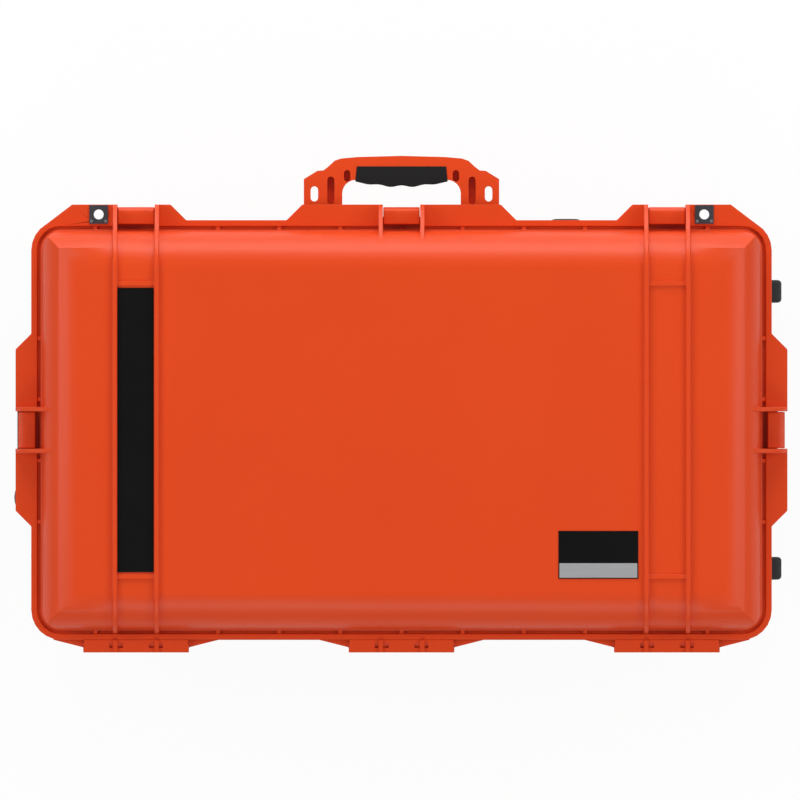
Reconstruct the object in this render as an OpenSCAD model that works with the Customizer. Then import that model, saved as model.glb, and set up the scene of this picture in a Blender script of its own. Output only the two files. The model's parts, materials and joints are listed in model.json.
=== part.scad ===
// Hard equipment case: a deep wheeled base and a shallow domed lid, moulded in resin.
// It lies on its stacking ribs. Z is up, -Y is the front with the carrying handle,
// +X is the end with the pull handle and -X the end with the wheels.
// The origin is the middle of the footprint, on the floor. All sizes are millimetres.

/* [Case body] */
// Length of the body, from end wall to end wall
body_l = 770; // [640:5:930]
// Width of the body, from front wall to back wall
body_w = 426; // [354:2:520]
// Height of the base, from the floor to the parting line
base_h = 216; // [178:2:262]
// Height of the lid's skin above the parting line
lid_h = 59; // [49:1:72]
// Thickness of the moulded walls
wall = 4; // [3.2:0.1:5]
// Height of the stacking ribs under the base
foot_h = 20; // [18:1:24]
// Lean of the base's walls, top to bottom
draft = 4; // [2:0.5:5]
// Radius of the body's upright corners
corner_r = 20; // [14:1:26]
// Radius of the edges round the lid's top
dome_r = 40; // [30:1:44]
// Radius of the edges round the base's floor
floor_r = 30; // [20:1:34]

/* [Rim and ribs] */
// How far the rim stands out from the walls
rim_out = 12; // [10:0.5:14]
// How far the latch guards stand out from the walls
guard_out = 28.8; // [28:0.2:34]
// Thickness of the lid's rim
lid_rim_t = 8; // [6:0.5:10]
// Thickness of the base's rim
base_rim_t = 6; // [4:0.5:8]
// Thickness of a rib
rib_t = 4.6; // [3:0.2:5.6]
// How far the long ribs stand above the lid's skin
rib_proud = 5; // [3:0.5:7]
// Height of the fins beside each latch, above the parting line
fin_h = 30; // [26:1:34]
// Gap left between the closed lid and the base
parting_gap = 0.4; // [0.2:0.1:0.8]

/* [Latches] */
// Distance from each end wall to the middle of the nearest front latch
latch_inset = 100.4; // [90:0.2:120]
// Width of a latch
latch_w = 39; // [34:0.5:44]
// Gap between a latch and the ribs beside it
latch_gap = 0.5; // [0.3:0.1:1.2]
// Distance of a latch's pin from the wall
latch_pin_out = 14; // [12:0.5:15]
// Depth of a latch's pin below the parting line
latch_pin_drop = 40; // [34:0.5:46]
// Radius of a latch's pin
latch_pin_r = 2; // [1.5:0.1:2.5]
// Travel of a latch's release button
latch_button_travel = 2.5; // [1.5:0.1:3]

/* [Carrying handles] */
// Half the width of the front handle
front_handle_half = 104.8; // [90:0.2:120]
// Half the width of the end handle
end_handle_half = 84; // [78:0.5:92]
// Reach of a handle from the wall to its outer edge
handle_reach = 81.4; // [76:0.2:90]
// Thickness of a handle
handle_t = 24; // [20:0.5:26]
// Width of a handle's leg
handle_leg_w = 41.2; // [38:0.2:44]
// Distance of a handle's pin from the wall
handle_pin_out = 15; // [13.5:0.1:16]
// Depth of a handle's pin below the parting line
handle_pin_drop = 27; // [23:0.5:30]
// Radius of a handle's pin
handle_pin_r = 3; // [2.5:0.1:4]

/* [Hinge] */
// Distance of the hinge pin from the back wall
hinge_out = 20.1; // [19:0.1:22]
// Radius of the hinge barrel
barrel_r = 5.5; // [4.5:0.1:6]
// Radius of a hinge pin
hinge_pin_r = 2; // [1.5:0.1:2.5]
// Half the length of the lid's knuckle
lid_knuckle_half = 35.3; // [34:0.1:40]
// Length of a base knuckle
base_knuckle_l = 21; // [15:0.5:24]

/* [Wheels] */
// Radius of a wheel over its tyre
wheel_r = 38; // [32:0.5:40]
// Width of a tyre
tyre_w = 24.5; // [20:0.5:28]
// Distance from the front or back wall to the middle of a wheel
wheel_inset = 63.6; // [60:0.2:80]
// Distance from the end wall to the wheel's axle
axle_inset = 13; // [9:0.5:16]
// Radius of an axle
axle_r = 4; // [3:0.25:5]
// Height of a wheel's lowest point above the floor
wheel_lift = 1; // [0.5:0.1:3]

/* [Pull handle] */
// Half the distance between the pull handle's tubes
tube_half = 38; // [34:0.5:40]
// Height of the tubes' axes above the floor
tube_z = 16; // [15:0.1:17]
// Outer radius of the fixed sleeves
sleeve_r = 10; // [9:0.1:10.5]
// Thickness of every tube's wall
tube_wall = 1.45; // [1:0.05:1.8]
// Travel of each of the two sliding stages
stage_travel = 220; // [150:5:260]
// Length of the sleeves
sleeve_l = 528; // [450:2:560]
// Travel of the round release button
release_travel = 5; // [3:0.5:6]

/* [Fittings] */
// Radius of the padlock holes
padlock_r = 5.35; // [4:0.05:6]
// Side of a padlock plate
plate_side = 20; // [18:0.5:24]
// Thickness of a padlock plate
plate_t = 1.2; // [0.8:0.1:1.6]
// Radius of the pressure valve's cap
valve_r = 18; // [15:0.5:20]
// Distance of the pressure valve from the middle of the front
valve_x = 176.3; // [150:0.1:190]
// Thickness of the badge and of the name strip
label_t = 0.8; // [0.5:0.1:1.2]

/* [Hidden] */
$fn = 64;
eps = 0.02;                         // overlap that joins two shapes of one solid
fit = 0.05;                         // running clearance on a radius
far = 2000;                         // longer than the case, for cuts
big = [far, far, far];

// Places worked out from the sizes above
latch_x = body_l / 2 - latch_inset;
rib_x = latch_w / 2 + latch_gap + rib_t / 2;       // from a latch's middle to its ribs
rim_r = corner_r + rim_out;
lid_low = base_h + parting_gap;
lid_top = base_h + lid_h;
wheel_y = body_w / 2 - wheel_inset;
axle_x = axle_inset - body_l / 2;
axle_z = wheel_lift + wheel_r;
middle_r = sleeve_r - tube_wall - fit;             // the sliding tubes' outer radii
inner_r = middle_r - tube_wall - fit;
FRONT = 0;
BACK = 1;
PULL_END = 2;
WHEEL_END = 3;
// Each latch: the wall that it is on and its place along that wall
LATCHES = [
    [FRONT, latch_x], [FRONT, 0], [FRONT, -latch_x], [WHEEL_END, 0], [PULL_END, 0]
];
HINGES = [-latch_x, 0, latch_x];

// Guards of the rim
guard_half = 37;                    // from a corner latch's middle to its guard's inner end
corner_cut = 9.4;
end_guard_half = end_handle_half + 2.5;
front_guard_half = front_handle_half + 1.6;
eye_x = 40.1;                       // from a corner latch's middle to the padlock eye
eye_out = 18.2;
eye_half = eye_x + 28.4;
rivet_x = 7.6;
rivet_y = -7.2;
rivet_r = 1;
fin_gap = 0.5;
rib_side = 7;                       // how far the base's long ribs stand out from its walls

// Hinge barrel
knuckle_gap = 0.35;
knuckles_half = lid_knuckle_half + knuckle_gap + base_knuckle_l;
hinge_z = parting_gap / 2;          // above the parting line

// Seal between the lid and the base, measured inwards from the wall's outer face
seal_land = 9.9;
seal_mid = 4.75;
tongue_w = 3;
tongue_h = 3;
groove_w = 5.4;
groove_h = 7;
land_h = 10;

// Gutter round the lid's dome
gutter_in = 2;
gutter_out = 5.6;
gutter_floor = 3;
gutter_tab_l = 5.5;
gutter_tab_pitch = 65.6;

// Latch
latch_thick = 12;
latch_face = 26;                    // its outer face, from the wall
latch_top = lid_rim_t + 4.6;
latch_lip = 7.6;                    // the lip's inner edge, from the wall
latch_barrel_r = 8;
button_w = 22;
button_h = 16;
button_z = -16;
button_depth = 5.5;
button_room = 9.6;
button_gap = 0.3;

// Wheels and their wells
well_gap = 0.3;
housing_t = 4;
well_half = tyre_w / 2 + 2 + housing_t + well_gap;
hub_r = wheel_r * 0.74;
bearing_r = axle_r + 7;
bearing_w = 7;

// Pull handle
channel_half = tube_half + sleeve_r + 3;
channel_end = body_l / 2 - 8 - sleeve_l;           // the sleeves' inner end
bezel_x = body_l / 2 - draft;
bezel_t = 6;
bezel_top = tube_z + sleeve_r + 22;
release_y = 73;
release_r = 17.4;
release_z = tube_z + 10;
release_out = 33;                   // the button's crown, from the end wall
boss_out = 18;
grip_in = bezel_x + bezel_t + 12;
grip_t = 13;
cover_t = 4;
cover_half = channel_half + wall + 6;
bezel_low_y = -channel_half - 16;
bezel_high_y = release_y + release_r + 6;
screw_r = 1.6;
screw_l = 9;
head_r = 3.2;

// Pressure valve
valve_drop = base_rim_t + valve_r + 6;             // below the parting line
valve_out = 13.6;
valve_stem_r = 7;
valve_pad = 2;                      // height of the flat pad that the cap sits on
valve_lean = draft * (valve_drop + 14) / (base_h - foot_h - floor_r);
seal_t = 1.2;
seal_in_r = valve_r - 5;

// ---------- shared shapes ----------

// Puts a piece at a wall: x runs along the wall, y outwards from it, z up from the parting line
module at_wall(side, along) {
    if (side == FRONT) translate([along, -body_w / 2, base_h]) rotate([0, 0, 180]) children();
    if (side == BACK) translate([along, body_w / 2, base_h]) children();
    if (side == PULL_END) translate([body_l / 2, along, base_h]) rotate([0, 0, -90]) children();
    if (side == WHEEL_END) translate([-body_l / 2, along, base_h]) rotate([0, 0, 90]) children();
}

// Extrudes an outline drawn as [y, z] across x, centred, to width w
module across(w) {
    rotate([90, 0, 90]) translate([0, 0, -w / 2]) linear_extrude(w) children();
}

// A round bar or hole along x, at [y, z]
module x_bar(y, z, r, w) {
    translate([-w / 2, y, z]) rotate([0, 90, 0]) cylinder(r = r, h = w);
}

// A box given by its low and high corners
module box(low, high) {
    translate(low) cube(high - low);
}

function arc(cx, cy, r, from, to, n = 8) =
    [for (i = [0:n]) let (a = from + (to - from) * i / n) [cx + r * cos(a), cy + r * sin(a)]];

function rounded(l, w, r, n = 6) = concat(
    arc(l / 2 - r, w / 2 - r, r, 0, 90, n),
    arc(r - l / 2, w / 2 - r, r, 90, 180, n),
    arc(r - l / 2, r - w / 2, r, 180, 270, n),
    arc(l / 2 - r, r - w / 2, r, 270, 360, n)
);

// The body's plan outline, grown by g
module body_outline(g) {
    polygon(rounded(body_l + 2 * g, body_w + 2 * g, corner_r + g));
}

// A dome's cross-section: upright sides to a rounded top
function dome_section(half, low, top, r) = concat(
    [[-half, low], [half, low]],
    arc(half - r, top - r, r, 0, 90),
    arc(r - half, top - r, r, 90, 180)
);

// The base's cross-section: leaning sides to a rounded floor
function tub_section(half, top, low, r, lean) = concat(
    [[half, top], [-half, top]],
    arc(r - half + lean, low + r, r, 180, 270),
    arc(half - r - lean, low + r, r, 270, 360)
);

// A solid with one cross-section along x and another along y, inside the plan outline
module crossed(l_section, w_section, grow) {
    intersection() {
        rotate([90, 0, 0]) linear_extrude(far, center = true) polygon(l_section);
        rotate([90, 0, 90]) linear_extrude(far, center = true) polygon(w_section);
        linear_extrude(far) body_outline(grow);
    }
}

// The lid's dome or the base's tub, with every face moved in by t
module dome(t, low) {
    top = lid_top - t;
    crossed(
        dome_section(body_l / 2 - t, low, top, dome_r - t),
        dome_section(body_w / 2 - t, low, top, dome_r - t), -t
    );
}

module tub(t, top) {
    low = foot_h + t;
    crossed(
        tub_section(body_l / 2 - t, top, low, floor_r - t, draft),
        tub_section(body_w / 2 - t, top, low, floor_r - t, draft), -t
    );
}

// The rim's outline with its latch guards
module rim_outline() {
    half_l = body_l / 2 + rim_out;
    half_w = body_w / 2 + rim_out;
    guard = body_w / 2 + guard_out;
    end_guard = body_l / 2 + guard_out;
    slope = guard_out - rim_out;
    body_outline(rim_out);
    for (s = [-1, 1]) {
        polygon([
            [s * (latch_x - guard_half - slope), -half_w], [s * (latch_x - guard_half), -guard],
            [s * (latch_x + eye_half), -guard], [s * (half_l - corner_cut), corner_cut - half_w],
            [s * (half_l - rim_r), 0], [s * (latch_x - guard_half - slope), 0]
        ]);
        polygon([
            [s * half_l, -end_guard_half - slope], [s * end_guard, -end_guard_half],
            [s * end_guard, end_guard_half], [s * half_l, end_guard_half + slope],
            [0, end_guard_half + slope], [0, -end_guard_half - slope]
        ]);
    }
    polygon([
        [-front_guard_half - slope, -half_w], [-front_guard_half, -guard],
        [front_guard_half, -guard], [front_guard_half + slope, -half_w],
        [front_guard_half + slope, 0], [-front_guard_half - slope, 0]
    ]);
}

// The guards of the base's rim beside the hinge barrels
module hinge_guards() {
    half_w = body_w / 2 + rim_out;
    out = body_w / 2 + hinge_out;
    for (x = HINGES) translate([x, 0]) polygon([
        [-knuckles_half - 32, half_w], [-knuckles_half, out], [knuckles_half, out],
        [knuckles_half + 32, half_w], [knuckles_half + 32, half_w - rim_out],
        [-knuckles_half - 32, half_w - rim_out]
    ]);
}

// The notches through both rims where the latches pass
module latch_notches() {
    for (latch = LATCHES) at_wall(latch[0], latch[1])
        translate([-latch_w / 2 - latch_gap, gutter_in + 2, -base_rim_t - 1])
            cube([latch_w + 2 * latch_gap, guard_out + rim_out, base_rim_t + lid_rim_t + 2]);
}

// One upright rib on each side of each latch, from an outline drawn as [y, z]
module latch_ribs(outline) {
    for (latch = LATCHES, s = [-1, 1]) at_wall(latch[0], latch[1])
        translate([s * rib_x, 0, 0]) across(rib_t) polygon(outline);
}

// The seats of the two padlock plates, at z from the parting line
module padlock_places(z) {
    for (s = [-1, 1]) at_wall(FRONT, s * (latch_x + eye_x)) translate([0, eye_out, z]) children();
}

// Plates with a hole, 9 mm apart rivets near the dome
module padlock_plate() {
    difference() {
        translate([-plate_side / 2, -plate_side / 2, 0]) cube([plate_side, plate_side, plate_t]);
        translate([0, 0, -1]) cylinder(r = padlock_r, h = plate_t + 2);
        for (s = [-1, 1]) translate([s * rivet_x, rivet_y, -1])
            cylinder(r = rivet_r, h = plate_t + 2, $fn = 24);
    }
}

module padlock_rivets(below) {
    for (s = [-1, 1]) translate([s * rivet_x, rivet_y, 0]) {
        translate([0, 0, -below]) cylinder(r = rivet_r, h = below + plate_t + eps, $fn = 24);
        translate([0, 0, plate_t]) cylinder(r = rivet_r + 0.6, h = 0.6, $fn = 24);
    }
}

// ---------- base ----------

module wheel_wells(grow) {
    for (s = [-1, 1]) box(
        [-far, s * wheel_y - well_half - grow, -far],
        [axle_x + wheel_r + 7 + grow, s * wheel_y + well_half + grow,
            axle_z + wheel_r + 6 + grow]
    );
}

module pull_channel(grow) {
    box([channel_end - grow, -channel_half - grow, -1],
        [body_l, channel_half + grow, tube_z + sleeve_r + 3 + grow]);
}

module base_room() {
    difference() {
        tub(wall, base_h + 1);
        wheel_wells(wall);
        pull_channel(wall);
        translate([0, 0, base_h - land_h]) difference() {
            linear_extrude(land_h + 2) body_outline(eps);
            translate([0, 0, -1]) linear_extrude(land_h + 4) body_outline(-seal_land);
        }
    }
}

// The fins that carry a handle's pins
module handle_fins(side, half) {
    low = -handle_pin_drop - handle_t / 2 - 4;
    inner = half - handle_leg_w;
    intersection() {
        linear_extrude(base_h - eps) rim_outline();
        at_wall(side, 0) for (s = [-1, 1], x = [inner - fin_gap - rib_t / 2, half + fin_gap + rib_t / 2])
            translate([s * x, 0, 0]) across(rib_t) polygon([
                [-wall, 0], [guard_out, 0], [guard_out, -handle_pin_drop],
                [handle_pin_out + 6, low], [-wall, low - 14]
            ]);
    }
}

module handle_pin_holes(side, half) {
    at_wall(side, 0) x_bar(handle_pin_out, -handle_pin_drop, handle_pin_r, 2 * half + 40);
}

// The long ribs that cross the base underneath and stand on the floor
module base_ribs() {
    for (x = [-latch_x, latch_x], s = [-1, 1]) translate([x + s * rib_x, 0, 0])
        across(rib_t) polygon(tub_section(
            body_w / 2 + rib_side, base_h - base_rim_t, 0, floor_r + rib_side, draft
        ));
}

module base_knuckles() {
    for (x = HINGES, s = [-1, 1])
        translate([x + s * (knuckles_half - base_knuckle_l / 2), body_w / 2, 0]) {
            x_bar(hinge_out, base_h + hinge_z, barrel_r, base_knuckle_l);
            across(base_knuckle_l) polygon([
                [rim_out - 2, base_h], [hinge_out, base_h], [hinge_out, base_h - barrel_r + hinge_z],
                [rim_out, base_h - base_rim_t - 8], [-1, base_h - base_rim_t - 20],
                [-1, base_h - 1], [rim_out - 2, base_h - 1]
            ]);
        }
}

module valve_place() {
    at_wall(FRONT, -valve_x) translate([0, 0, -valve_drop]) rotate([-90, 0, 0]) children();
}

module base_shell() {
    fin_low = -latch_pin_drop - 10;
    color("orangered") difference() {
        union() {
            tub(0, base_h);
            intersection() {
                pull_channel(wall);
                box([-far, -far, cover_t], [bezel_x, far, far]);
            }
            translate([0, 0, base_h - base_rim_t]) linear_extrude(base_rim_t) rim_outline();
            translate([0, 0, base_h - base_rim_t]) linear_extrude(base_rim_t) hinge_guards();
            base_ribs();
            base_knuckles();
            latch_ribs([
                [-wall, -eps], [guard_out, -eps], [guard_out, 4 - latch_pin_drop],
                [latch_pin_out + 6, fin_low], [-wall, fin_low - 6]
            ]);
            handle_fins(FRONT, front_handle_half);
            handle_fins(PULL_END, end_handle_half);
            translate([0, 0, base_h - 1]) linear_extrude(tongue_h + 1) difference() {
                body_outline(tongue_w / 2 - seal_mid);
                body_outline(-tongue_w / 2 - seal_mid);
            }
            valve_place() translate([0, 0, -wall]) cylinder(r = valve_r + 2, h = wall + valve_pad);
            // the pad behind the bezel and the screws' bosses under the floor
            box([bezel_x - floor_r - 6, bezel_low_y, foot_h - 8], [bezel_x, bezel_high_y, bezel_top]);
            cover_screw_places() translate([0, 0, cover_t]) cylinder(r = 5, h = foot_h);
        }
        base_room();
        wheel_wells(0);
        pull_channel(0);
        latch_notches();
        // room for the lid's knuckles, and the pins' bore
        for (x = HINGES) translate([x, body_w / 2, 0]) {
            w = 2 * (lid_knuckle_half + knuckle_gap);
            x_bar(hinge_out, base_h + hinge_z, barrel_r + 0.6, w);
            translate([-w / 2, rim_out, base_h - base_rim_t - 30]) cube([w, 30, base_rim_t + 60]);
            x_bar(hinge_out, base_h + hinge_z, hinge_pin_r, 2 * knuckles_half + 2);
        }
        for (latch = LATCHES) at_wall(latch[0], latch[1])
            x_bar(latch_pin_out, -latch_pin_drop, latch_pin_r, latch_w + 30);
        handle_pin_holes(FRONT, front_handle_half);
        handle_pin_holes(PULL_END, end_handle_half);
        padlock_places(-base_rim_t - 1) {
            cylinder(r = padlock_r + 1, h = base_rim_t + 2);
            for (s = [-1, 1]) translate([s * rivet_x, rivet_y, 0])
                cylinder(r = rivet_r, h = 5, $fn = 24);
        }
        valve_place() translate([0, 0, -wall - 20]) cylinder(r = valve_stem_r, h = wall + 40);
        box([channel_end - far, -cover_half, -1], [bezel_x - 6, cover_half, cover_t]);
        cover_screw_places() cylinder(r = screw_r, h = cover_t + screw_l);
        bezel_screw_places() translate([0, 0, -screw_l]) cylinder(r = screw_r, h = screw_l + 1);
    }
    color("orangered") intersection() {
        tube_webs();
        pull_channel(wall);
    }
}

// Webs across the channel that hold the sleeves
module tube_webs() {
    for (t = [0.03, 0.5, 0.9]) difference() {
        translate([channel_end + t * sleeve_l - 3, -channel_half - wall / 2, cover_t])
            cube([6, 2 * channel_half + wall, tube_z + sleeve_r + 3 - cover_t + wall / 2]);
        tube_places(-1, sleeve_l + 2) circle(r = sleeve_r);
        cover_screw_places() cylinder(r = screw_r + 0.5, h = cover_t + screw_l + 1);
    }
}

// Extrudes a shape along both tubes, from a distance past the sleeves' inner end
module tube_places(start, length) {
    for (s = [-1, 1]) translate([channel_end + start, s * tube_half, tube_z])
        rotate([90, 0, 90]) linear_extrude(length) children();
}

module ring(outer, inner) {
    difference() {
        circle(r = outer);
        circle(r = inner);
    }
}

module padlock_plates_below() {
    padlock_places(-base_rim_t) mirror([0, 0, 1]) padlock_plate();
}

module base_padlock_plates() {
    color("dimgray") padlock_plates_below();
}

module base_plate_rivets() {
    color("silver") padlock_places(-base_rim_t) mirror([0, 0, 1]) padlock_rivets(4);
}

module hinge_pins() {
    color("silver") for (x = HINGES) translate([x, body_w / 2, 0])
        x_bar(hinge_out, base_h + hinge_z, hinge_pin_r, 2 * knuckles_half);
}

module latch_pins() {
    color("silver") for (latch = LATCHES) at_wall(latch[0], latch[1])
        x_bar(latch_pin_out, -latch_pin_drop, latch_pin_r, latch_w + 2 * latch_gap + 2 * rib_t);
}

module handle_pins_at(side, half) {
    at_wall(side, 0) for (s = [-1, 1]) translate([s * (half - handle_leg_w / 2), 0, 0])
        x_bar(handle_pin_out, -handle_pin_drop, handle_pin_r, handle_leg_w + 2 * (fin_gap + rib_t));
}

module handle_pins() {
    color("silver") {
        handle_pins_at(FRONT, front_handle_half);
        handle_pins_at(PULL_END, end_handle_half);
    }
}

// A wheel's carrier: two cheeks, a back and a roof that fit the well
module wheel_housings() {
    front_x = -body_l / 2 + draft;
    back_x = axle_x + wheel_r + 7 - well_gap;
    top = axle_z + wheel_r + 6 - well_gap;
    half = well_half - well_gap;
    color("dimgray") for (s = [-1, 1]) translate([0, s * wheel_y, 0]) difference() {
        box([front_x, -half, foot_h - 8], [back_x, half, top]);
        box([-far, housing_t - half, -1], [back_x - housing_t, half - housing_t, top - housing_t]);
        translate([axle_x, 0, axle_z]) rotate([90, 0, 0])
            cylinder(r = axle_r, h = far, center = true);
    }
}

module wheel_axles() {
    color("silver") for (s = [-1, 1]) translate([axle_x, s * wheel_y, axle_z]) rotate([90, 0, 0])
        cylinder(r = axle_r, h = 2 * (well_half - well_gap), center = true);
}

module pull_handle_sleeves() {
    color("silver") tube_places(0, sleeve_l) ring(sleeve_r, sleeve_r - tube_wall);
}

module cover_screw_places() {
    for (x = [channel_end + 20, 0, bezel_x - 40], s = [-1, 1])
        translate([x, s * (channel_half + wall / 2), 0]) children();
}

module pull_handle_cover() {
    color("dimgray") difference() {
        box([channel_end - wall - 6, -cover_half, 0], [bezel_x - 6, cover_half, cover_t]);
        cover_screw_places() translate([0, 0, -1]) cylinder(r = head_r, h = 3);
        cover_screw_places() cylinder(r = screw_r, h = cover_t + 1);
    }
}

module cover_screws() {
    color("silver") cover_screw_places() difference() {
        union() {
            translate([0, 0, 0.4]) cylinder(r = head_r, h = 1.6);
            translate([0, 0, 1]) cylinder(r = screw_r, h = cover_t + screw_l - 1);
        }
        cylinder(r = 1.4, h = 1.4, $fn = 6);
    }
}

// The place of the round release button, z pointing out of the end
module release_place() {
    translate([body_l / 2, release_y, release_z]) rotate([0, 90, 0]) children();
}

module bezel_screw_places() {
    for (s = [-1, 1], z = [foot_h - 1, bezel_top - 6])
        translate([bezel_x, s * (tube_half + sleeve_r + 8) - 4, z]) rotate([0, 90, 0]) children();
}

// The plate on the end wall that the tubes come out of, with the release button's boss
module pull_handle_bezel() {
    color("dimgray") difference() {
        union() {
            box([bezel_x, bezel_low_y, foot_h - 8], [bezel_x + bezel_t, bezel_high_y, bezel_top]);
            box([bezel_x, -channel_half - wall, cover_t], [bezel_x + bezel_t, channel_half + wall, foot_h]);
            release_place() translate([0, 0, -draft]) cylinder(r = release_r + 2.6, h = boss_out + draft);
        }
        tube_places(0, sleeve_l + 40) circle(r = middle_r + 0.3);
        release_place() translate([0, 0, 2 - draft]) cylinder(r = release_r + 0.3, h = 60);
        bezel_screw_places() translate([0, 0, 2]) cylinder(r = head_r, h = bezel_t);
        bezel_screw_places() translate([0, 0, -1]) cylinder(r = screw_r, h = bezel_t);
    }
}

module bezel_screws() {
    color("silver") bezel_screw_places() difference() {
        union() {
            translate([0, 0, 2]) cylinder(r = head_r, h = 3);
            translate([0, 0, -screw_l]) cylinder(r = screw_r, h = screw_l + 2.5);
        }
        translate([0, 0, 3.6]) cylinder(r = 1.4, h = 4, $fn = 6);
    }
}

// Pressure valve, turned about its own axis
module valve_cap() {
    color("black") valve_place() rotate_extrude() polygon(concat(
        [[0, -wall - 10], [valve_stem_r, -wall - 10], [valve_stem_r, valve_pad],
            [seal_in_r - 0.1, valve_pad], [seal_in_r - 0.1, valve_pad + seal_t + 0.05],
            [valve_r, valve_pad + seal_t + 0.05], [valve_r, 6]],
        arc(valve_r - 7, valve_out - 7, 7, 10, 90, 8), [[0, valve_out]]
    ));
}

module valve_seal() {
    color("black") valve_place() translate([0, 0, valve_pad]) linear_extrude(seal_t)
        ring(valve_r - 2, seal_in_r);
}

module valve_nut() {
    color("dimgray") valve_place() translate([0, 0, -wall - valve_lean - 5]) difference() {
        cylinder(r = 12, h = 5, $fn = 6);
        translate([0, 0, -1]) cylinder(r = valve_stem_r, h = 7);
    }
}

module release_spring() {
    color("silver") release_place() translate([0, 0, 2 - draft])
        leaf_spring(20, boss_out - 13.2 + draft, 10);
}

// A zigzag strip spring as wide as w, standing h high
module leaf_spring(l, h, w) {
    t = 0.6;
    n = 4;
    up = [for (i = [0:n]) [-l / 2 + l * i / n, i % 2 == 0 ? 0 : h - t]];
    down = [for (i = [0:n]) [l / 2 - l * i / n, (i % 2 == 0 ? 0 : h - t) + t]];
    rotate([90, 0, 0]) linear_extrude(w, center = true) polygon(concat(up, down));
}

// ---------- lid ----------

module lid_ribs() {
    proud = rib_proud;
    for (x = [-latch_x, latch_x], s = [-1, 1]) translate([x + s * rib_x, 0, 0]) across(rib_t)
        polygon(dome_section(body_w / 2 + proud, lid_low + 1, lid_top + proud, dome_r + proud));
    // a cross rib near each end of a pair
    for (x = [-latch_x, latch_x], s = [-1, 1]) intersection() {
        translate([x - rib_x, s * 157 - rib_t / 2, lid_low + 1]) cube([2 * rib_x, rib_t, lid_h + 2]);
        dome(-2, lid_low);
    }
}

module lid_knuckles() {
    for (x = HINGES) translate([x, body_w / 2, 0]) {
        x_bar(hinge_out, base_h + hinge_z, barrel_r, 2 * lid_knuckle_half);
        across(2 * lid_knuckle_half) polygon([
            [rim_out - 4, lid_low], [hinge_out, lid_low], [hinge_out, base_h + hinge_z + barrel_r],
            [rim_out - 2, base_h + lid_rim_t], [rim_out - 4, base_h + lid_rim_t]
        ]);
    }
}

module gutter() {
    difference() {
        translate([0, 0, base_h + gutter_floor]) linear_extrude(lid_h) difference() {
            body_outline(gutter_out);
            body_outline(gutter_in);
        }
        for (i = [-5:5], s = [-1, 1])
            translate([i * gutter_tab_pitch - 2, s * (body_w / 2 + 4) - 6, base_h]) cube([4, 12, 7]);
        for (i = [-1.5:1.5], s = [-1, 1])
            translate([s * (body_l / 2 + 4) - 6, i * gutter_tab_pitch - 2, base_h]) cube([12, 4, 7]);
    }
}

module lid_shell() {
    color("orangered") difference() {
        union() {
            difference() {
                union() {
                    dome(0, lid_low);
                    translate([0, 0, lid_low]) linear_extrude(lid_rim_t - parting_gap) rim_outline();
                }
                gutter();
            }
            lid_ribs();
            lid_knuckles();
            latch_ribs([
                [-dome_r, parting_gap], [guard_out, parting_gap], [guard_out, lid_rim_t + 3],
                [guard_out - 8, fin_h - 6], [-2, fin_h + 8], [-12, lid_h - 12], [-dome_r, lid_h - 12]
            ]);
        }
        difference() {
            dome(wall, base_h - 1);
            translate([0, 0, base_h - 2]) linear_extrude(land_h + 2) difference() {
                body_outline(eps);
                body_outline(-seal_land);
            }
        }
        translate([0, 0, base_h - 1]) linear_extrude(groove_h + 1) difference() {
            body_outline(groove_w / 2 - seal_mid);
            body_outline(-groove_w / 2 - seal_mid);
        }
        latch_notches();
        for (x = HINGES) translate([x, body_w / 2, 0])
            x_bar(hinge_out, base_h + hinge_z, hinge_pin_r + fit, 2 * lid_knuckle_half + 2);
        padlock_places(0) {
            cylinder(r = padlock_r + 1, h = lid_rim_t + 1);
            for (s = [-1, 1]) translate([s * rivet_x, rivet_y, lid_rim_t - 4])
                cylinder(r = rivet_r, h = 5, $fn = 24);
        }
    }
}

module lid_gasket() {
    color("black") translate([0, 0, base_h + tongue_h + 0.3])
        linear_extrude(groove_h - tongue_h - 0.3) difference() {
            body_outline(groove_w / 2 - seal_mid - 0.02);
            body_outline(0.02 - groove_w / 2 - seal_mid);
        }
}

module lid_padlock_plates() {
    color("dimgray") padlock_places(lid_rim_t) padlock_plate();
}

module lid_plate_rivets() {
    color("silver") padlock_places(lid_rim_t) padlock_rivets(4);
}

module name_strip() {
    color("black") translate([latch_x, 0, lid_top]) linear_extrude(label_t)
        polygon(rounded(2 * rib_x - rib_t - 1.4, 304.4, 1.5));
}

module badge_plate() {
    color("black") translate([-210.7, 133.5, lid_top]) linear_extrude(label_t)
        polygon(rounded(85.4, 51.1, 2.5));
}

// ---------- latches ----------

module latch_at(i) {
    latch = LATCHES[i];
    at_wall(latch[0], latch[1]) children();
}

module latch() {
    inner = latch_face - latch_thick;
    color("orangered") difference() {
        union() {
            across(latch_w) polygon([
                [inner, -latch_pin_drop], [latch_face - 2, -latch_pin_drop],
                [latch_face, 4 - latch_pin_drop], [latch_face, latch_top - 5],
                [latch_face - 3, latch_top - 1], [latch_face - 8, latch_top],
                [latch_lip, latch_top], [latch_lip, lid_rim_t + 0.6],
                [inner, lid_rim_t + 0.6]
            ]);
            x_bar(latch_pin_out, -latch_pin_drop, latch_barrel_r, latch_w);
        }
        x_bar(latch_pin_out, -latch_pin_drop, latch_pin_r + fit, latch_w + 2);
        translate([-button_w / 2 - button_gap, latch_face - button_room, button_z - button_h / 2 - button_gap])
            cube([button_w + 2 * button_gap, button_room + 1, button_h + 2 * button_gap]);
    }
}

module latch_button() {
    color("orangered") translate([-button_w / 2, latch_face - button_depth, button_z - button_h / 2])
        cube([button_w, button_depth, button_h]);
}

module latch_spring() {
    color("silver") translate([0, latch_face - button_room, button_z]) rotate([-90, 0, 0])
        leaf_spring(16, button_room - button_depth, 8);
}

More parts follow.
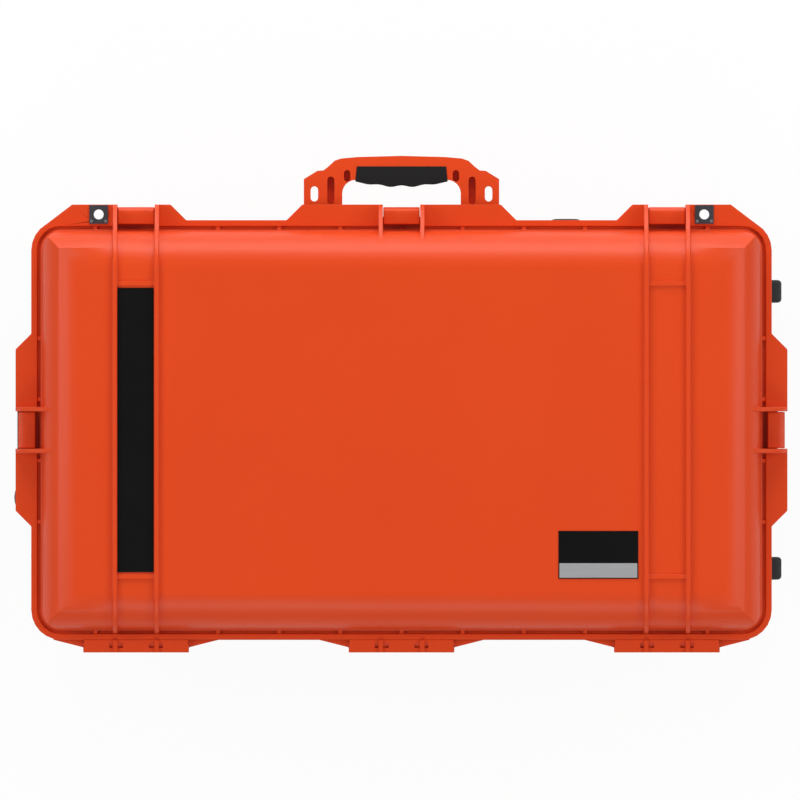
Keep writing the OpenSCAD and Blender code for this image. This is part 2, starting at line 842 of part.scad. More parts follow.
module latch_front_pull_side() { latch_at(0) latch(); }
module latch_front_centre() { latch_at(1) latch(); }
module latch_front_wheel_side() { latch_at(2) latch(); }
module latch_wheel_end() { latch_at(3) latch(); }
module latch_pull_end() { latch_at(4) latch(); }

module button_front_pull_side() { latch_at(0) latch_button(); }
module button_front_centre() { latch_at(1) latch_button(); }
module button_front_wheel_side() { latch_at(2) latch_button(); }
module button_wheel_end() { latch_at(3) latch_button(); }
module button_pull_end() { latch_at(4) latch_button(); }

module spring_front_pull_side() { latch_at(0) latch_spring(); }
module spring_front_centre() { latch_at(1) latch_spring(); }
module spring_front_wheel_side() { latch_at(2) latch_spring(); }
module spring_wheel_end() { latch_at(3) latch_spring(); }
module spring_pull_end() { latch_at(4) latch_spring(); }

// ---------- carrying handles ----------

// Local frame of a handle: origin on its pin, y outwards when it stands straight out
module handle_place(side, turn) {
    at_wall(side, 0) translate([0, handle_pin_out, -handle_pin_drop]) rotate([turn, 0, 0]) children();
}

module handle_frame(half) {
    reach = handle_reach - handle_pin_out;
    opening = half - handle_leg_w;
    bar_in = reach - 26;
    color("orangered") difference() {
        union() {
            translate([0, 0, -handle_t / 2]) linear_extrude(handle_t) difference() {
                polygon([
                    [-half, 0], [-half, reach - 21.5], [18 - half, reach - 14], [32 - half, reach - 3],
                    [50 - half, reach], [half - 50, reach], [half - 32, reach - 3],
                    [half - 18, reach - 14], [half, reach - 21.5], [half, 0]
                ]);
                polygon(concat(
                    [[-opening, -1]], arc(14 - opening, bar_in - 14, 14, 180, 90, 4),
                    arc(opening - 14, bar_in - 14, 14, 90, 0, 4), [[opening, -1]]
                ));
            }
            for (s = [-1, 1]) translate([s * (half - handle_leg_w / 2), 0, 0])
                x_bar(0, 0, handle_t / 2, handle_leg_w);
        }
        for (s = [-1, 1]) {
            translate([s * (half - handle_leg_w / 2), 0, 0])
                x_bar(0, 0, handle_pin_r + fit, handle_leg_w + 2);
            // slots and grooves in the legs
            translate([s * (half - 11.3), reach - 41.5, 0]) linear_extrude(far, center = true)
                polygon(rounded(8, 16.5, 3.9));
            translate([s * (half - 29), reach - 48, handle_t / 2]) cube([7.7, 48, 6], center = true);
            translate([s * (half - 29), reach - 48, -handle_t / 2]) cube([7.7, 48, 6], center = true);
        }
        // the waist that the grip wraps
        for (s = [-1, 1]) translate([-grip_half(half), bar_in - 1, s > 0 ? 6 : -handle_t])
            cube([2 * grip_half(half), 16, handle_t - 6]);
    }
}

function grip_half(half) = half - handle_leg_w - 14;

module handle_grip(half) {
    reach = handle_reach - handle_pin_out;
    bar_in = reach - 26;
    color("black") difference() {
        translate([0.05 - grip_half(half), bar_in - 6, -handle_t / 2 - 1])
            cube([2 * grip_half(half) - 0.1, 21 - 0.05, handle_t + 2]);
        translate([-grip_half(half) - 1, bar_in - 0.02, -6]) cube([2 * grip_half(half) + 2, 30, 12]);
        for (i = [-1.5:1.5]) translate([i * grip_half(half) / 2, bar_in - 9, 0])
            cylinder(r = 6.5, h = far, center = true, $fn = 32);
    }
}

module front_handle_frame() { handle_place(FRONT, 0) handle_frame(front_handle_half); }
module front_handle_grip() { handle_place(FRONT, 0) handle_grip(front_handle_half); }
module end_handle_frame() { handle_place(PULL_END, -90) handle_frame(end_handle_half); }
module end_handle_grip() { handle_place(PULL_END, -90) handle_grip(end_handle_half); }

// ---------- pull handle ----------

module pull_handle_middle_tubes() {
    color("silver") tube_places(6, sleeve_l + 3) ring(middle_r, middle_r - tube_wall);
}

module pull_handle_inner_tubes() {
    color("silver") translate([0, 0, 0]) tube_places(12, grip_in + 6 - channel_end - 12)
        ring(inner_r, inner_r - tube_wall);
}

module pull_handle_grip() {
    half = tube_half + 12;
    color("black") difference() {
        union() {
            translate([grip_in, 0, tube_z]) rotate([0, 90, 0]) linear_extrude(grip_t)
                polygon(rounded(2 * sleeve_r + 2, 2 * half, 8));
            for (s = [-1, 1]) translate([grip_in - 10, s * tube_half, tube_z]) rotate([0, 90, 0])
                cylinder(r = inner_r + 2, h = 11);
        }
        tube_places(0, grip_in + 6 - channel_end) circle(r = inner_r);
    }
}

module release_button() {
    color("black") release_place() rotate_extrude() polygon(concat(
        [[0, 6.8], [release_r, 6.8], [release_r, boss_out + 3]],
        [for (a = [10:10:80]) [release_r * cos(a), boss_out + 3 + (release_out - boss_out - 3) * sin(a)]],
        [[0, release_out]]
    ));
}

// ---------- wheels ----------

module wheel_at(s) {
    translate([axle_x, s * wheel_y, axle_z]) rotate([90, 0, 0]) children();
}

module tyre(s) {
    edge = 4;
    color("black") wheel_at(s) rotate_extrude($fn = 96) polygon(concat(
        [[hub_r, -tyre_w / 2 + 2], [hub_r + 3, -tyre_w / 2]],
        arc(wheel_r - edge, edge - tyre_w / 2, edge, 270, 360, 4),
        arc(wheel_r - edge, tyre_w / 2 - edge, edge, 0, 90, 4),
        [[hub_r + 3, tyre_w / 2], [hub_r, tyre_w / 2 - 2]]
    ));
}

module hub(s) {
    half = tyre_w / 2 - 1.5;
    color("dimgray") wheel_at(s) difference() {
        rotate_extrude($fn = 96) polygon([
            [bearing_r, -half], [bearing_r + 3, -half], [bearing_r + 3, -3], [hub_r - 3, -3],
            [hub_r - 3, -half], [hub_r, -half], [hub_r, half], [hub_r - 3, half],
            [hub_r - 3, 3], [bearing_r + 3, 3], [bearing_r + 3, half], [bearing_r, half],
            [bearing_r, half - bearing_w], [bearing_r - 2, half - bearing_w],
            [bearing_r - 2, bearing_w - half], [bearing_r, bearing_w - half]
        ]);
        for (i = [0:5]) rotate(60 * i) translate([(bearing_r + hub_r) / 2, 0, 0])
            cylinder(r = 3, h = far, center = true, $fn = 32);
    }
}

module bearings(s) {
    half = tyre_w / 2 - 1.5;
    color("silver") wheel_at(s) for (z = [-half, half - bearing_w]) translate([0, 0, z])
        linear_extrude(bearing_w) ring(bearing_r, axle_r + fit);
}

module front_wheel_tyre() { tyre(-1); }
module front_wheel_hub() { hub(-1); }
module front_wheel_bearings() { bearings(-1); }
module back_wheel_tyre() { tyre(1); }
module back_wheel_hub() { hub(1); }
module back_wheel_bearings() { bearings(1); }

base_shell();
base_padlock_plates();
base_plate_rivets();
hinge_pins();
latch_pins();
handle_pins();
wheel_housings();
wheel_axles();
pull_handle_sleeves();
pull_handle_cover();
cover_screws();
pull_handle_bezel();
bezel_screws();
valve_cap();
valve_seal();
valve_nut();
release_spring();
lid_shell();
lid_gasket();
lid_padlock_plates();
lid_plate_rivets();
name_strip();
badge_plate();
latch_front_wheel_side();
latch_front_centre();
latch_front_pull_side();
latch_wheel_end();
latch_pull_end();
button_front_wheel_side();
button_front_centre();
button_front_pull_side();
button_wheel_end();
button_pull_end();
spring_front_wheel_side();
spring_front_centre();
spring_front_pull_side();
spring_wheel_end();
spring_pull_end();
front_handle_frame();
front_handle_grip();
end_handle_frame();
end_handle_grip();
pull_handle_middle_tubes();
pull_handle_inner_tubes();
pull_handle_grip();
release_button();
front_wheel_tyre();
front_wheel_hub();
front_wheel_bearings();
back_wheel_tyre();
back_wheel_hub();
back_wheel_bearings();
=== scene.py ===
# %% [markdown]
# # A hard equipment case on wheels
# The case lies on its base with the lid shut. Its frame, the exact shells, pins, tubes
# and wheels, is loaded first and stays where it is. Over it come the moulded skins with
# their softened edges, the rubber and the finishes, so that it looks as it would in the hand.

# %% Load the frame
import json
import math

import bmesh
import bpy
from mathutils import Matrix, Vector


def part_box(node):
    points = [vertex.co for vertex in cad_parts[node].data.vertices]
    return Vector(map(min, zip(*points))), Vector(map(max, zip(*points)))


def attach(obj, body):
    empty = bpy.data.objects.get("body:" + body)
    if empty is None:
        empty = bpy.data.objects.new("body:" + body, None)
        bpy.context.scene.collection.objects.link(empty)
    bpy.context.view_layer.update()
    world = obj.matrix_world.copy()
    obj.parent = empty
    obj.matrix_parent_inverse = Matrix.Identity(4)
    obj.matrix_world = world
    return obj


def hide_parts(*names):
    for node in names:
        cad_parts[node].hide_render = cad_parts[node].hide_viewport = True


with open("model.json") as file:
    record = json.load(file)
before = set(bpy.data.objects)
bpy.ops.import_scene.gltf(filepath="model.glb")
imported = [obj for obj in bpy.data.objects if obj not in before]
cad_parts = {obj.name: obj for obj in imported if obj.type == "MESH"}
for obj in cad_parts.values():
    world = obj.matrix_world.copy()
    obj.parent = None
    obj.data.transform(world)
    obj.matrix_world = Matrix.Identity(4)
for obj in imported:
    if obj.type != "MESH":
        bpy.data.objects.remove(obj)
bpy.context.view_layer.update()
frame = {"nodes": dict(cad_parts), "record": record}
MM = 0.001
body_of = {n: b for b, members in frame["record"]["behaviour"]["bodies"].items() for n in members}

# %% [markdown]
# ## Small tools
# Every colour below is written as the eye reads it, in sRGB hex, and turned to linear light
# once here. One more helper adds a node, sets it and links it, so that a finish reads as a
# short list.

# %% Colour and node helpers
def linear(hex_colour):
    values = [int(hex_colour[i:i + 2], 16) / 255 for i in (1, 3, 5)]
    return [v / 12.92 if v <= 0.04045 else ((v + 0.055) / 1.055) ** 2.4 for v in values] + [1]


def add(tree, kind, links=(), settings=(), **inputs):
    """Adds one node. links are (input name, other node, its output name)."""
    made = tree.nodes.new(kind)
    for key, value in dict(settings).items():
        setattr(made, key, value)
    for key, value in inputs.items():
        made.inputs[key.replace("_", " ")].default_value = value
    for name, other, out in links:
        tree.links.new(other.outputs[out], made.inputs[name])
    return made


def new_finish(name):
    finish = bpy.data.materials.new(name)
    finish.use_nodes = True
    tree = finish.node_tree
    return finish, tree, tree.nodes["Principled BSDF"], add(tree, "ShaderNodeTexCoord")


# %% [markdown]
# ## Moulded polypropylene, orange
# The shells, latches and carrying handles are injection moulded from one resin, coloured
# all through. The mould is spark eroded, which leaves a fine, even grain about half a
# millimetre across: it spreads the light, so that the flat top shows plain colour and only
# the slopes pick up a soft pale sheen. The grain is drawn near 1.4 mm, because its real size
# would not show at all from where the case is seen.

# %% The orange moulding
def orange_resin():
    finish, tree, shader, place = new_finish("moulded_polypropylene_orange")
    grain = add(tree, "ShaderNodeTexNoise", [("Vector", place, "Object")],
                Scale=1 / 0.0014, Detail=3.0, Roughness=0.6)
    cloud = add(tree, "ShaderNodeTexNoise", [("Vector", place, "Object")],
                Scale=1 / 0.16, Detail=2.0, Roughness=0.5)
    mix = add(tree, "ShaderNodeMixRGB", [("Fac", cloud, "Fac")],
              Color1=linear("#D93F06"), Color2=linear("#DE450A"))
    rough = add(tree, "ShaderNodeMapRange", [("Value", grain, "Fac")], To_Min=0.34, To_Max=0.52)
    bump = add(tree, "ShaderNodeBump", [("Height", grain, "Fac")], Strength=0.22, Distance=0.0002)
    tree.links.new(mix.outputs["Color"], shader.inputs["Base Color"])
    tree.links.new(rough.outputs["Result"], shader.inputs["Roughness"])
    tree.links.new(bump.outputs["Normal"], shader.inputs["Normal"])
    shader.inputs["IOR"].default_value = 1.49
    shader.inputs["Specular IOR Level"].default_value = 0.36
    return finish


orange = orange_resin()
print("finish:", orange.name)

# %% [markdown]
# ## The black parts
# The bezel, valve and wheel hubs are black nylon with the same spark grain, a touch glossier
# than the shells. The grips, seals and tyres are rubber: darker where it is worn smooth and
# dull everywhere, so it returns almost no highlight.

# %% Black nylon and rubber
def black_moulding(name, low, high, rough_low, rough_high, grain_mm, depth_mm, ior):
    finish, tree, shader, place = new_finish(name)
    grain = add(tree, "ShaderNodeTexNoise", [("Vector", place, "Object")],
                Scale=1000 / grain_mm, Detail=3.0, Roughness=0.6)
    cloud = add(tree, "ShaderNodeTexNoise", [("Vector", place, "Object")], Scale=22.0, Detail=3.0)
    mix = add(tree, "ShaderNodeMixRGB", [("Fac", cloud, "Fac")],
              Color1=linear(low), Color2=linear(high))
    rough = add(tree, "ShaderNodeMapRange", [("Value", cloud, "Fac")],
                To_Min=rough_low, To_Max=rough_high)
    bump = add(tree, "ShaderNodeBump", [("Height", grain, "Fac")], Strength=0.3,
               Distance=depth_mm * MM)
    tree.links.new(mix.outputs["Color"], shader.inputs["Base Color"])
    tree.links.new(rough.outputs["Result"], shader.inputs["Roughness"])
    tree.links.new(bump.outputs["Normal"], shader.inputs["Normal"])
    shader.inputs["IOR"].default_value = ior
    shader.inputs["Specular IOR Level"].default_value = 0.3
    return finish


nylon = black_moulding("moulded_nylon_black", "#0E0E0F", "#151517", 0.38, 0.5, 1.2, 0.15, 1.53)
rubber = black_moulding("moulded_rubber_black", "#060607", "#0B0B0C", 0.62, 0.78, 0.9, 0.12, 1.52)
tyre_rubber = black_moulding("tyre_rubber_charcoal", "#1B1B1C", "#262627", 0.68, 0.85, 1.0, 0.2,
                             1.52)
label_film = black_moulding("polyester_film_black", "#050506", "#09090A", 0.4, 0.5, 2.0, 0.02, 1.33)
print("finishes:", nylon.name, rubber.name, tyre_rubber.name, label_film.name)

# %% [markdown]
# ## The metals
# The padlock plates are stainless sheet, brushed one way and dulled to grey. Pins and screws
# are ground or zinc plated, and the tubes are drawn aluminium, anodised clear. A long thin
# noise, stretched along the brushing or the drawing, gives each its grain: lines about a
# third of a millimetre apart.

# %% Steel and aluminium
def metal(name, low, high, rough_low, rough_high, stretch, line_mm):
    finish, tree, shader, place = new_finish(name)
    turn = add(tree, "ShaderNodeMapping", [("Vector", place, "Object")], Scale=stretch)
    lines = add(tree, "ShaderNodeTexNoise", [("Vector", turn, "Vector")],
                Scale=1000 / line_mm, Detail=4.0, Roughness=0.65)
    mix = add(tree, "ShaderNodeMixRGB", [("Fac", lines, "Fac")],
              Color1=linear(low), Color2=linear(high))
    rough = add(tree, "ShaderNodeMapRange", [("Value", lines, "Fac")],
                To_Min=rough_low, To_Max=rough_high)
    bump = add(tree, "ShaderNodeBump", [("Height", lines, "Fac")], Strength=0.15, Distance=0.00005)
    tree.links.new(mix.outputs["Color"], shader.inputs["Base Color"])
    tree.links.new(rough.outputs["Result"], shader.inputs["Roughness"])
    tree.links.new(bump.outputs["Normal"], shader.inputs["Normal"])
    shader.inputs["Metallic"].default_value = 1.0
    return finish


grey_steel = metal("brushed_stainless_grey", "#55555A", "#6E6E74", 0.3, 0.48, (1, 0.04, 1), 0.7)
bright_steel = metal("ground_steel_bright", "#A9AAAD", "#C4C5C8", 0.22, 0.36, (0.05, 1, 1), 0.5)
aluminium = metal("anodised_aluminium_drawn", "#BFC1C4", "#D5D7DA", 0.25, 0.36, (0.03, 1, 1), 0.6)
silver_film = metal("polyester_film_silver", "#D0D1D4", "#DEDFE2", 0.38, 0.46, (0.05, 1, 1), 0.8)
print("finishes:", grey_steel.name, bright_steel.name, aluminium.name, silver_film.name)

# %% [markdown]
# ## Moulded skins
# A moulding has no knife edges: the tool maker rounds each one by half a millimetre or more,
# and the light caught on those edges is what makes plastic look like plastic. The exact shell
# is copied, its loose triangles are merged into plain faces again, and a bevel rounds each
# edge. Copying keeps every hole and rib where the pins and latches need it.

# %% Helpers that soften a moulding
def only(obj):
    bpy.ops.object.select_all(action="DESELECT")
    obj.select_set(True)
    bpy.context.view_layer.objects.active = obj


def dress(piece, finish):
    """Smooths the rounded edges, keeps the plain faces flat to the light, and adds a finish."""
    bpy.ops.object.shade_smooth_by_angle(angle=math.radians(35))
    even = piece.modifiers.new("even", "WEIGHTED_NORMAL")
    even.weight, even.keep_sharp = 80, True
    bpy.ops.object.modifier_apply(modifier="even")
    piece.data.materials.clear()
    piece.data.materials.append(finish)


def stand_in(piece, node):
    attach(piece, body_of[node])
    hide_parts(node)
    print(node, "->", len(piece.data.polygons), "faces")


def moulding(name, edge_mm, segments=3, many_holes=False):
    source = frame["nodes"][name]
    skin = source.copy()
    skin.data = source.data.copy()
    skin.name = skin.data.name = name + "_skin"
    bpy.context.collection.objects.link(skin)
    only(skin)
    bpy.ops.object.mode_set(mode="EDIT")
    bpy.ops.mesh.select_all(action="SELECT")
    bpy.ops.mesh.remove_doubles(threshold=0.00002)
    bpy.ops.mesh.dissolve_limited(angle_limit=math.radians(0.6))
    if many_holes:
        bpy.ops.mesh.quads_convert_to_tris(ngon_method="BEAUTY")
    bpy.ops.object.mode_set(mode="OBJECT")
    bevel = skin.modifiers.new("edge", "BEVEL")
    bevel.width, bevel.segments = edge_mm * MM, segments
    bevel.limit_method, bevel.angle_limit = "ANGLE", math.radians(40)
    bevel.use_clamp_overlap = False
    bevel.miter_outer = "MITER_SHARP"
    bpy.ops.object.modifier_apply(modifier="edge")
    dress(skin, orange)
    stand_in(skin, name)


# %% The two shells
for name in ("lid_shell", "base_shell"):
    moulding(name, 0.6, segments=2, many_holes=True)

# %% The latches and their buttons
for name in sorted(frame["nodes"]):
    if name.startswith("latch_") and name != "latch_pins":
        moulding(name, 1.0)
    if name.startswith("button_"):
        moulding(name, 0.8)

# %% [markdown]
# ## Blanks and cutters
# The handles are easier to draw than to copy. A blank is made as from sheet: a ring of points
# is moved onto the outline and extruded to its thickness. A cutter is one more blank, and is
# thrown away once it has cut. Last, the edges are rounded as on the shells.

# %% Helpers: outlines and blanks
def blank(name, outline, low, high):
    """A flat piece of the given outline, from height low to height high, all in mm."""
    bpy.ops.object.select_all(action="DESELECT")
    bpy.ops.mesh.primitive_circle_add(vertices=len(outline), radius=1, fill_type="NGON",
                                      location=(0, 0, 0))
    made = bpy.context.object
    made.name = made.data.name = name
    for vertex, (x, y) in zip(made.data.vertices, outline):
        vertex.co = (x * MM, y * MM, low * MM)
    bpy.ops.object.mode_set(mode="EDIT")
    bpy.ops.mesh.select_all(action="SELECT")
    bpy.ops.mesh.extrude_region_move(TRANSFORM_OT_translate={"value": (0, 0, (high - low) * MM)})
    bpy.ops.mesh.select_all(action="SELECT")
    bpy.ops.mesh.normals_make_consistent(inside=False)
    bpy.ops.object.mode_set(mode="OBJECT")
    return made


def arc(x, y, r, start, stop, steps=6):
    turns = [math.radians(start + (stop - start) * i / steps) for i in range(steps + 1)]
    return [(x + r * math.cos(t), y + r * math.sin(t)) for t in turns]


def pill(x, low, high, r):
    return arc(x, high - r, r, 0, 180) + arc(x, low + r, r, 180, 360)


# %% Helpers: cut, join and round
def combine(piece, tool, operation):
    only(piece)
    step = piece.modifiers.new("step", "BOOLEAN")
    step.object, step.operation, step.solver = tool, operation, "EXACT"
    bpy.ops.object.modifier_apply(modifier="step")
    bpy.data.objects.remove(tool, do_unlink=True)


def cross_rod(x, r, length, sides):
    """A round rod along X, on the line that the handle turns about."""
    bpy.ops.object.select_all(action="DESELECT")
    bpy.ops.mesh.primitive_cylinder_add(vertices=sides, radius=r * MM, depth=length * MM,
                                        location=(x * MM, 0, 0), rotation=(0, math.pi / 2, 0))
    bpy.ops.object.transform_apply(location=True, rotation=True, scale=True)
    return bpy.context.object


def soften(piece, edge_mm, finish, segments=3):
    only(piece)
    bpy.ops.object.mode_set(mode="EDIT")
    bpy.ops.mesh.select_all(action="SELECT")
    bpy.ops.mesh.remove_doubles(threshold=0.01 * MM)
    bpy.ops.mesh.normals_make_consistent(inside=False)
    bpy.ops.mesh.quads_convert_to_tris(quad_method="BEAUTY", ngon_method="BEAUTY")
    bpy.ops.object.mode_set(mode="OBJECT")
    bevel = piece.modifiers.new("edge", "BEVEL")
    bevel.width, bevel.segments = edge_mm * MM, segments
    bevel.limit_method, bevel.angle_limit = "ANGLE", math.radians(40)
    bpy.ops.object.modifier_apply(modifier="edge")
    dress(piece, finish)


def put(piece, place, node):
    """Moves a piece drawn about its pin to its place on the case, and fixes it there."""
    only(piece)
    piece.matrix_world = place
    bpy.ops.object.transform_apply(location=True, rotation=True, scale=True)
    stand_in(piece, node)


# %% [markdown]
# ## Carrying handles
# A handle is a flat bow of resin, thick enough to fill the hand, with a crowned top, sloped
# shoulders, and slots cored out of its legs to save weight and to let it cool evenly. The
# narrow slot at each side goes right through, for a strap. Each leg ends round about its pin,
# so that it clears the wall as it folds. The front handle is drawn out; the end one hangs.

# %% The outline of a bow, with its crown rounded
leg, thick, past = 41.2, 23.8, 30      # mm; past is how far a cutter stands out


def bow_blank(name, half):
    side = [(half, 0), (half, 41.3), (half - 14.6, 50.2), (half - 21, 50.6), (half - 26, 54.5),
            (half - 33, 61), (half - 40, 63.4), (half - 58, 65)]
    crown = (0, 66.2)
    outline = side + [crown] + [(-x, y) for x, y in reversed(side)]
    bow = blank(name + "_bow", outline, -thick / 2, thick / 2)
    only(bow)
    bpy.ops.object.mode_set(mode="EDIT")
    mesh = bmesh.from_edit_mesh(bow.data)
    for edge in mesh.edges:
        flat = abs(edge.verts[0].co.z - edge.verts[1].co.z) < MM
        edge.select_set(flat and min(v.co.y for v in edge.verts) > 49 * MM)
    bmesh.update_edit_mesh(bow.data)
    bpy.ops.mesh.bevel(offset=5.5 * MM, segments=4)
    bpy.ops.object.mode_set(mode="OBJECT")
    return bow


# %% The opening, the slots and the pin holes
def bow_holes(bow, half):
    inner, shoulder, r, web = half - leg, 26, 14.5, 2.5
    opening = ([(inner, -past), (inner, shoulder)] + arc(inner - r, shoulder, r, 0, 90)
               + arc(r - inner, shoulder, r, 90, 180) + [(-inner, -past)])
    combine(bow, blank("opening", opening, -past, past), "DIFFERENCE")
    for s in (-1, 1):
        strap = pill(s * (half - 11.3), 17.2, 33.7, 4)
        long_core = pill(s * (half - 29), 14, 44, 3.8)
        short_core = pill(s * (half - 46.4), 38.5, 51, 3.4)
        combine(bow, blank("strap_slot", strap, -past, past), "DIFFERENCE")
        for low, high in ((web, past), (-past, -web)):
            combine(bow, blank("long_core", long_core, low, high), "DIFFERENCE")
            combine(bow, blank("short_core", short_core, low, high), "DIFFERENCE")
        middle = s * (half - leg / 2)
        combine(bow, cross_rod(middle, thick / 2, leg, 48), "UNION")
        combine(bow, cross_rod(middle, 3.05, 2 * past, 32), "DIFFERENCE")


# %% The two bows
def carrying_handle(name, half, place):
    bow = bow_blank(name, half)
    bow_holes(bow, half)
    soften(bow, 0.8, orange)
    put(bow, place, name + "_frame")


quarter = math.pi / 2
front_place = Matrix.Translation((0, -0.228, 0.189)) @ Matrix.Rotation(math.pi, 4, "Z")
end_place = (Matrix.Translation((0.4, 0, 0.189)) @ Matrix.Rotation(-quarter, 4, "Z")
             @ Matrix.Rotation(-quarter, 4, "X"))
carrying_handle("front_handle", 104.8, front_place)
carrying_handle("end_handle", 84.0, end_place)

# %% [markdown]
# ## Grips
# The grip is soft rubber moulded over the bow: straight against the crown, tapered at its
# ends, and swelling to the middle underneath, with small ridges between the fingers. It is
# a blank like the bow, but its lower edge follows a shallow wave and all its edges are round.

# %% Two rubber grips
def grip(name, half, place, steps=24):
    crown, edge, deep, ridge, thick_half = 54.8, 38.8, 5.2, 1.1, 12.8
    outline = [(-half + 1.6, crown)]
    for i in range(steps, -1, -1):
        t = 2 * i / steps - 1
        sag = deep * math.cos(t * quarter) ** 0.8 if abs(t) < 1 else 0
        wave = ridge * math.cos(t * 4 * math.pi) * (1 - t * t)
        outline.append((-half * t, edge - sag + wave))
    outline.append((half - 1.6, crown))
    sleeve = blank(name + "_sleeve", outline, -thick_half, thick_half)
    soften(sleeve, 2.6, rubber, 4)
    put(sleeve, place, name + "_grip")


grip("front_handle", 49.6, front_place)
grip("end_handle", 29.0, end_place)

# %% [markdown]
# ## Ledges behind the latches
# The rim is notched where each latch passes. A short ledge of the base's own moulding closes
# the bottom of each notch, so that dirt and rain do not run down between latch and wall.

# %% Ledge bars
def bar(name, low, high, body, edge_mm):
    """A rounded bar between two corners, given in mm, that moves with a body."""
    low, high = Vector(low) * MM, Vector(high) * MM
    bpy.ops.object.select_all(action="DESELECT")
    bpy.ops.mesh.primitive_cube_add(size=1, location=(low + high) / 2, scale=high - low)
    bpy.ops.object.transform_apply(location=True, rotation=True, scale=True)
    made = bpy.context.object
    made.name = made.data.name = name
    soften(made, edge_mm, orange)
    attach(made, body)


stations = (-284.6, 0, 284.6)          # the front latches, and the hinges behind them
notch_half, ledge_low, ledge_high = 21.2, 208.5, 215.8
for x in stations:
    bar("ledge_front_%d" % round(x), (x - notch_half, -226.3, ledge_low),
        (x + notch_half, -215, ledge_high), "base", 0.8)
for side in (-1, 1):
    near, far = sorted((side * 387.4, side * 403.6))
    bar("ledge_end_%d" % side, (near, -notch_half, ledge_low),
        (far, notch_half, ledge_high), "base", 0.8)
print("ledges:", len(stations) + 2)

# %% [markdown]
# ## Hinge hoods
# A thin hood on the lid covers each row of knuckles and keeps grit out of them. The long ribs
# of the lid end on it, and small square windows beside each rib are where the mould's slides
# formed the knuckles. The hood is a front and a back strip, joined by posts.

# %% Three hoods with their windows
def hood(x):
    half, rib, rib_half = 55.9, 22.2, 2.3
    strips = [(-half, half, 0, 3.6, 0, 2.3), (-half, half, 8.6, 13.6, 0, 2.3)]
    posts = [(a, b, 3.4, 8.8, 0.1, 2.2) for a, b in
             ((-half, -28.6), (-24.4, -20), (-13.8, 13.8), (20, 24.4), (28.6, half))]
    ribs = [(s * rib - rib_half, s * rib + rib_half, 0.4, 13.4, 2, 5.2) for s in (-1, 1)]
    wall_y, rim_top = 224.9, 222.4
    for i, (x0, x1, y0, y1, z0, z1) in enumerate(strips + posts + ribs):
        bar("hood_%d_%d" % (round(x), i), (x + x0, wall_y + y0, rim_top + z0),
            (x + x1, wall_y + y1, rim_top + z1), "lid", 0.3)


for x in stations:
    hood(x)
print("hoods:", len(stations))

# %% [markdown]
# ## Badge and name strip
# Both are printed film on a thin stiff plate, glued to the lid and left bare here. The badge
# is black over a silver band. Each starts as a cube of the plate's size: its upright edges are
# rounded, its face is inset for the raised rim, and the badge is cut once where the band starts.

# %% Two thin plates
def thin_plate(name, corner_mm, rim_mm, band=None):
    low, high = [Vector(v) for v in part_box(name)]
    middle, size = (low + high) / 2, high - low
    bpy.ops.object.select_all(action="DESELECT")
    bpy.ops.mesh.primitive_cube_add(size=1, location=middle, scale=size)
    plate = bpy.context.object
    bpy.ops.object.transform_apply(location=True, rotation=True, scale=True)
    plate.name = plate.data.name = name + "_face"
    bpy.ops.object.mode_set(mode="EDIT")
    mesh = bmesh.from_edit_mesh(plate.data)
    for edge in mesh.edges:
        edge.select_set(abs(edge.verts[0].co.z - edge.verts[1].co.z) > size.z / 2)
    bmesh.update_edit_mesh(plate.data)
    bpy.ops.mesh.bevel(offset=corner_mm * MM, segments=6)
    bpy.ops.mesh.select_all(action="DESELECT")
    mesh = bmesh.from_edit_mesh(plate.data)
    for face in mesh.faces:
        face.select_set(face.normal.z > 0.9)
    bmesh.update_edit_mesh(plate.data)
    bpy.ops.mesh.inset(thickness=rim_mm * MM, depth=0)
    bpy.ops.mesh.inset(thickness=0.3 * MM, depth=-0.3 * MM)
    if band:
        bpy.ops.mesh.select_all(action="SELECT")
        bpy.ops.mesh.bisect(plane_co=(0, band, 0), plane_no=(0, 1, 0))
    bpy.ops.object.mode_set(mode="OBJECT")
    plate.data.materials.append(label_film)
    if band:
        plate.data.materials.append(silver_film)
        for face in plate.data.polygons:
            inside = face.normal.z > 0.9 and face.center.z < high.z - 0.2 * MM
            face.material_index = 1 if inside and face.center.y > band else 0
    stand_in(plate, name)


thin_plate("name_strip", 1.5, 0.8)
thin_plate("badge_plate", 2.4, 0.8, band=0.1425)

# %% [markdown]
# ## Finishes for the exact parts
# Turned, drawn and punched parts are already the right shape, so they keep it and only
# get their finish.

# %% Give the rest of the frame its finishes
finishes = {
    "orange_resin": orange, "black_plastic": nylon, "black_rubber": rubber,
    "wheel_tyre": tyre_rubber, "grey_steel": grey_steel, "bright_steel": bright_steel,
    "drawn_aluminium": aluminium, "black_label": label_film, "badge": label_film,
}
for part in frame["record"]["subparts"]:
    node = frame["nodes"][part["node"]]
    node.data.materials.clear()
    node.data.materials.append(finishes[part["material_slot"]])

# %% [markdown]
# ## Floor, light and camera
# The case lies on a plain white floor. A large soft lamp stands low at the front, where the
# rounded edge of the lid looks, and shows as the pale sheen along that slope. The two at the
# ends hang higher, or the flat top would mirror the far one as a white glare when it is seen
# from the side. A weaker one hangs behind the hinges, and the sky fills the rest.

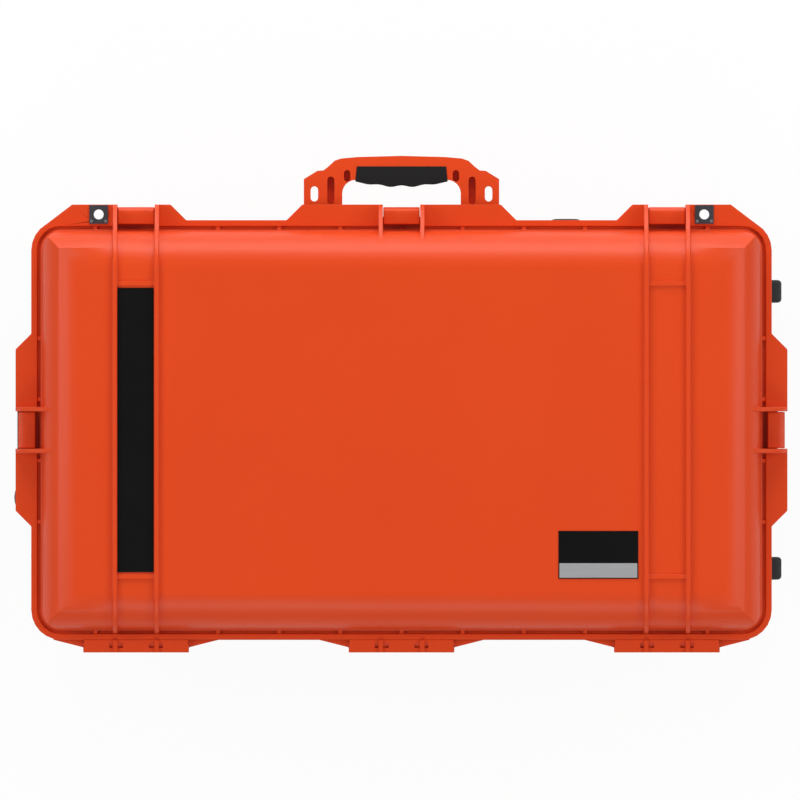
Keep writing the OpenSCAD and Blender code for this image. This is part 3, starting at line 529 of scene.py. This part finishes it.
# %% Floor
bpy.ops.object.select_all(action="DESELECT")
bpy.ops.mesh.primitive_plane_add(size=12, location=(0, 0, 0))
floor = bpy.context.object
floor.name = "floor"
paper, tree, shader, place = new_finish("matt_paper_white")
shader.inputs["Base Color"].default_value = linear("#F4F4F4")
shader.inputs["Roughness"].default_value = 0.9
glow = add(tree, "ShaderNodeEmission", Strength=1.0)
ray = add(tree, "ShaderNodeLightPath")
half = add(tree, "ShaderNodeMath", [(0, ray, "Is Camera Ray")], {"operation": "MULTIPLY"})
half.inputs[1].default_value = 0.94
both = add(tree, "ShaderNodeMixShader",
           [("Fac", half, "Value"), (1, shader, "BSDF"), (2, glow, "Emission")])
tree.links.new(both.outputs["Shader"], tree.nodes["Material Output"].inputs["Surface"])
floor.data.materials.append(paper)

# %% Lamps and sky
def lamp(name, place, aim, size, size_y, watts):
    data = bpy.data.lights.new(name, "AREA")
    data.shape = "RECTANGLE"
    data.size, data.size_y, data.energy = size, size_y, watts
    light = bpy.data.objects.new(name, data)
    bpy.context.collection.objects.link(light)
    light.location = place
    light.rotation_euler = (Vector(aim) - Vector(place)).to_track_quat("-Z", "Y").to_euler()
    return light


top = (0, 0, 0.2)
lamp("front_softbox", (0, -2.2, 1.1), top, 2.4, 1.2, 44)
lamp("pull_end_softbox", (2.1, -0.2, 2.0), top, 1.6, 1.2, 22)
lamp("wheel_end_softbox", (-2.1, -0.2, 2.0), top, 1.6, 1.2, 22)
lamp("hinge_softbox", (0, 2.2, 2.2), top, 2.4, 1.0, 24)

sky = bpy.data.worlds.new("studio")
bpy.context.scene.world = sky
sky.use_nodes = True
tree = sky.node_tree
air = tree.nodes["Background"]
air.inputs["Color"].default_value = linear("#FFFFFF")
air.inputs["Strength"].default_value = 0.3
seen = add(tree, "ShaderNodeBackground", Color=linear("#FFFFFF"), Strength=1.0)
ray = add(tree, "ShaderNodeLightPath")
pick = add(tree, "ShaderNodeMixShader",
           [("Fac", ray, "Is Camera Ray"), (1, air, "Background"), (2, seen, "Background")])
tree.links.new(pick.outputs["Shader"], tree.nodes["World Output"].inputs["Surface"])

# %% [markdown]
# The camera hangs high over the lid with a very long lens, so that the case is seen
# straight from above and nearly without perspective, with its carrying handle up the frame.

# %% Camera
lens_mm, sensor_mm = 1200.0, 36.0
view_width = 0.8576
rim_z = 0.228
camera_data = bpy.data.cameras.new("camera")
camera_data.lens, camera_data.sensor_width = lens_mm, sensor_mm
camera_data.clip_end = 100
camera = bpy.data.objects.new("camera", camera_data)
bpy.context.collection.objects.link(camera)
camera.location = (0.0016, -0.0322, rim_z + view_width * lens_mm / sensor_mm)
camera.rotation_euler = (0, 0, math.pi)
bpy.context.scene.camera = camera
bpy.context.scene.view_settings.view_transform = "Standard"
print("camera at", [round(v, 3) for v in camera.location])
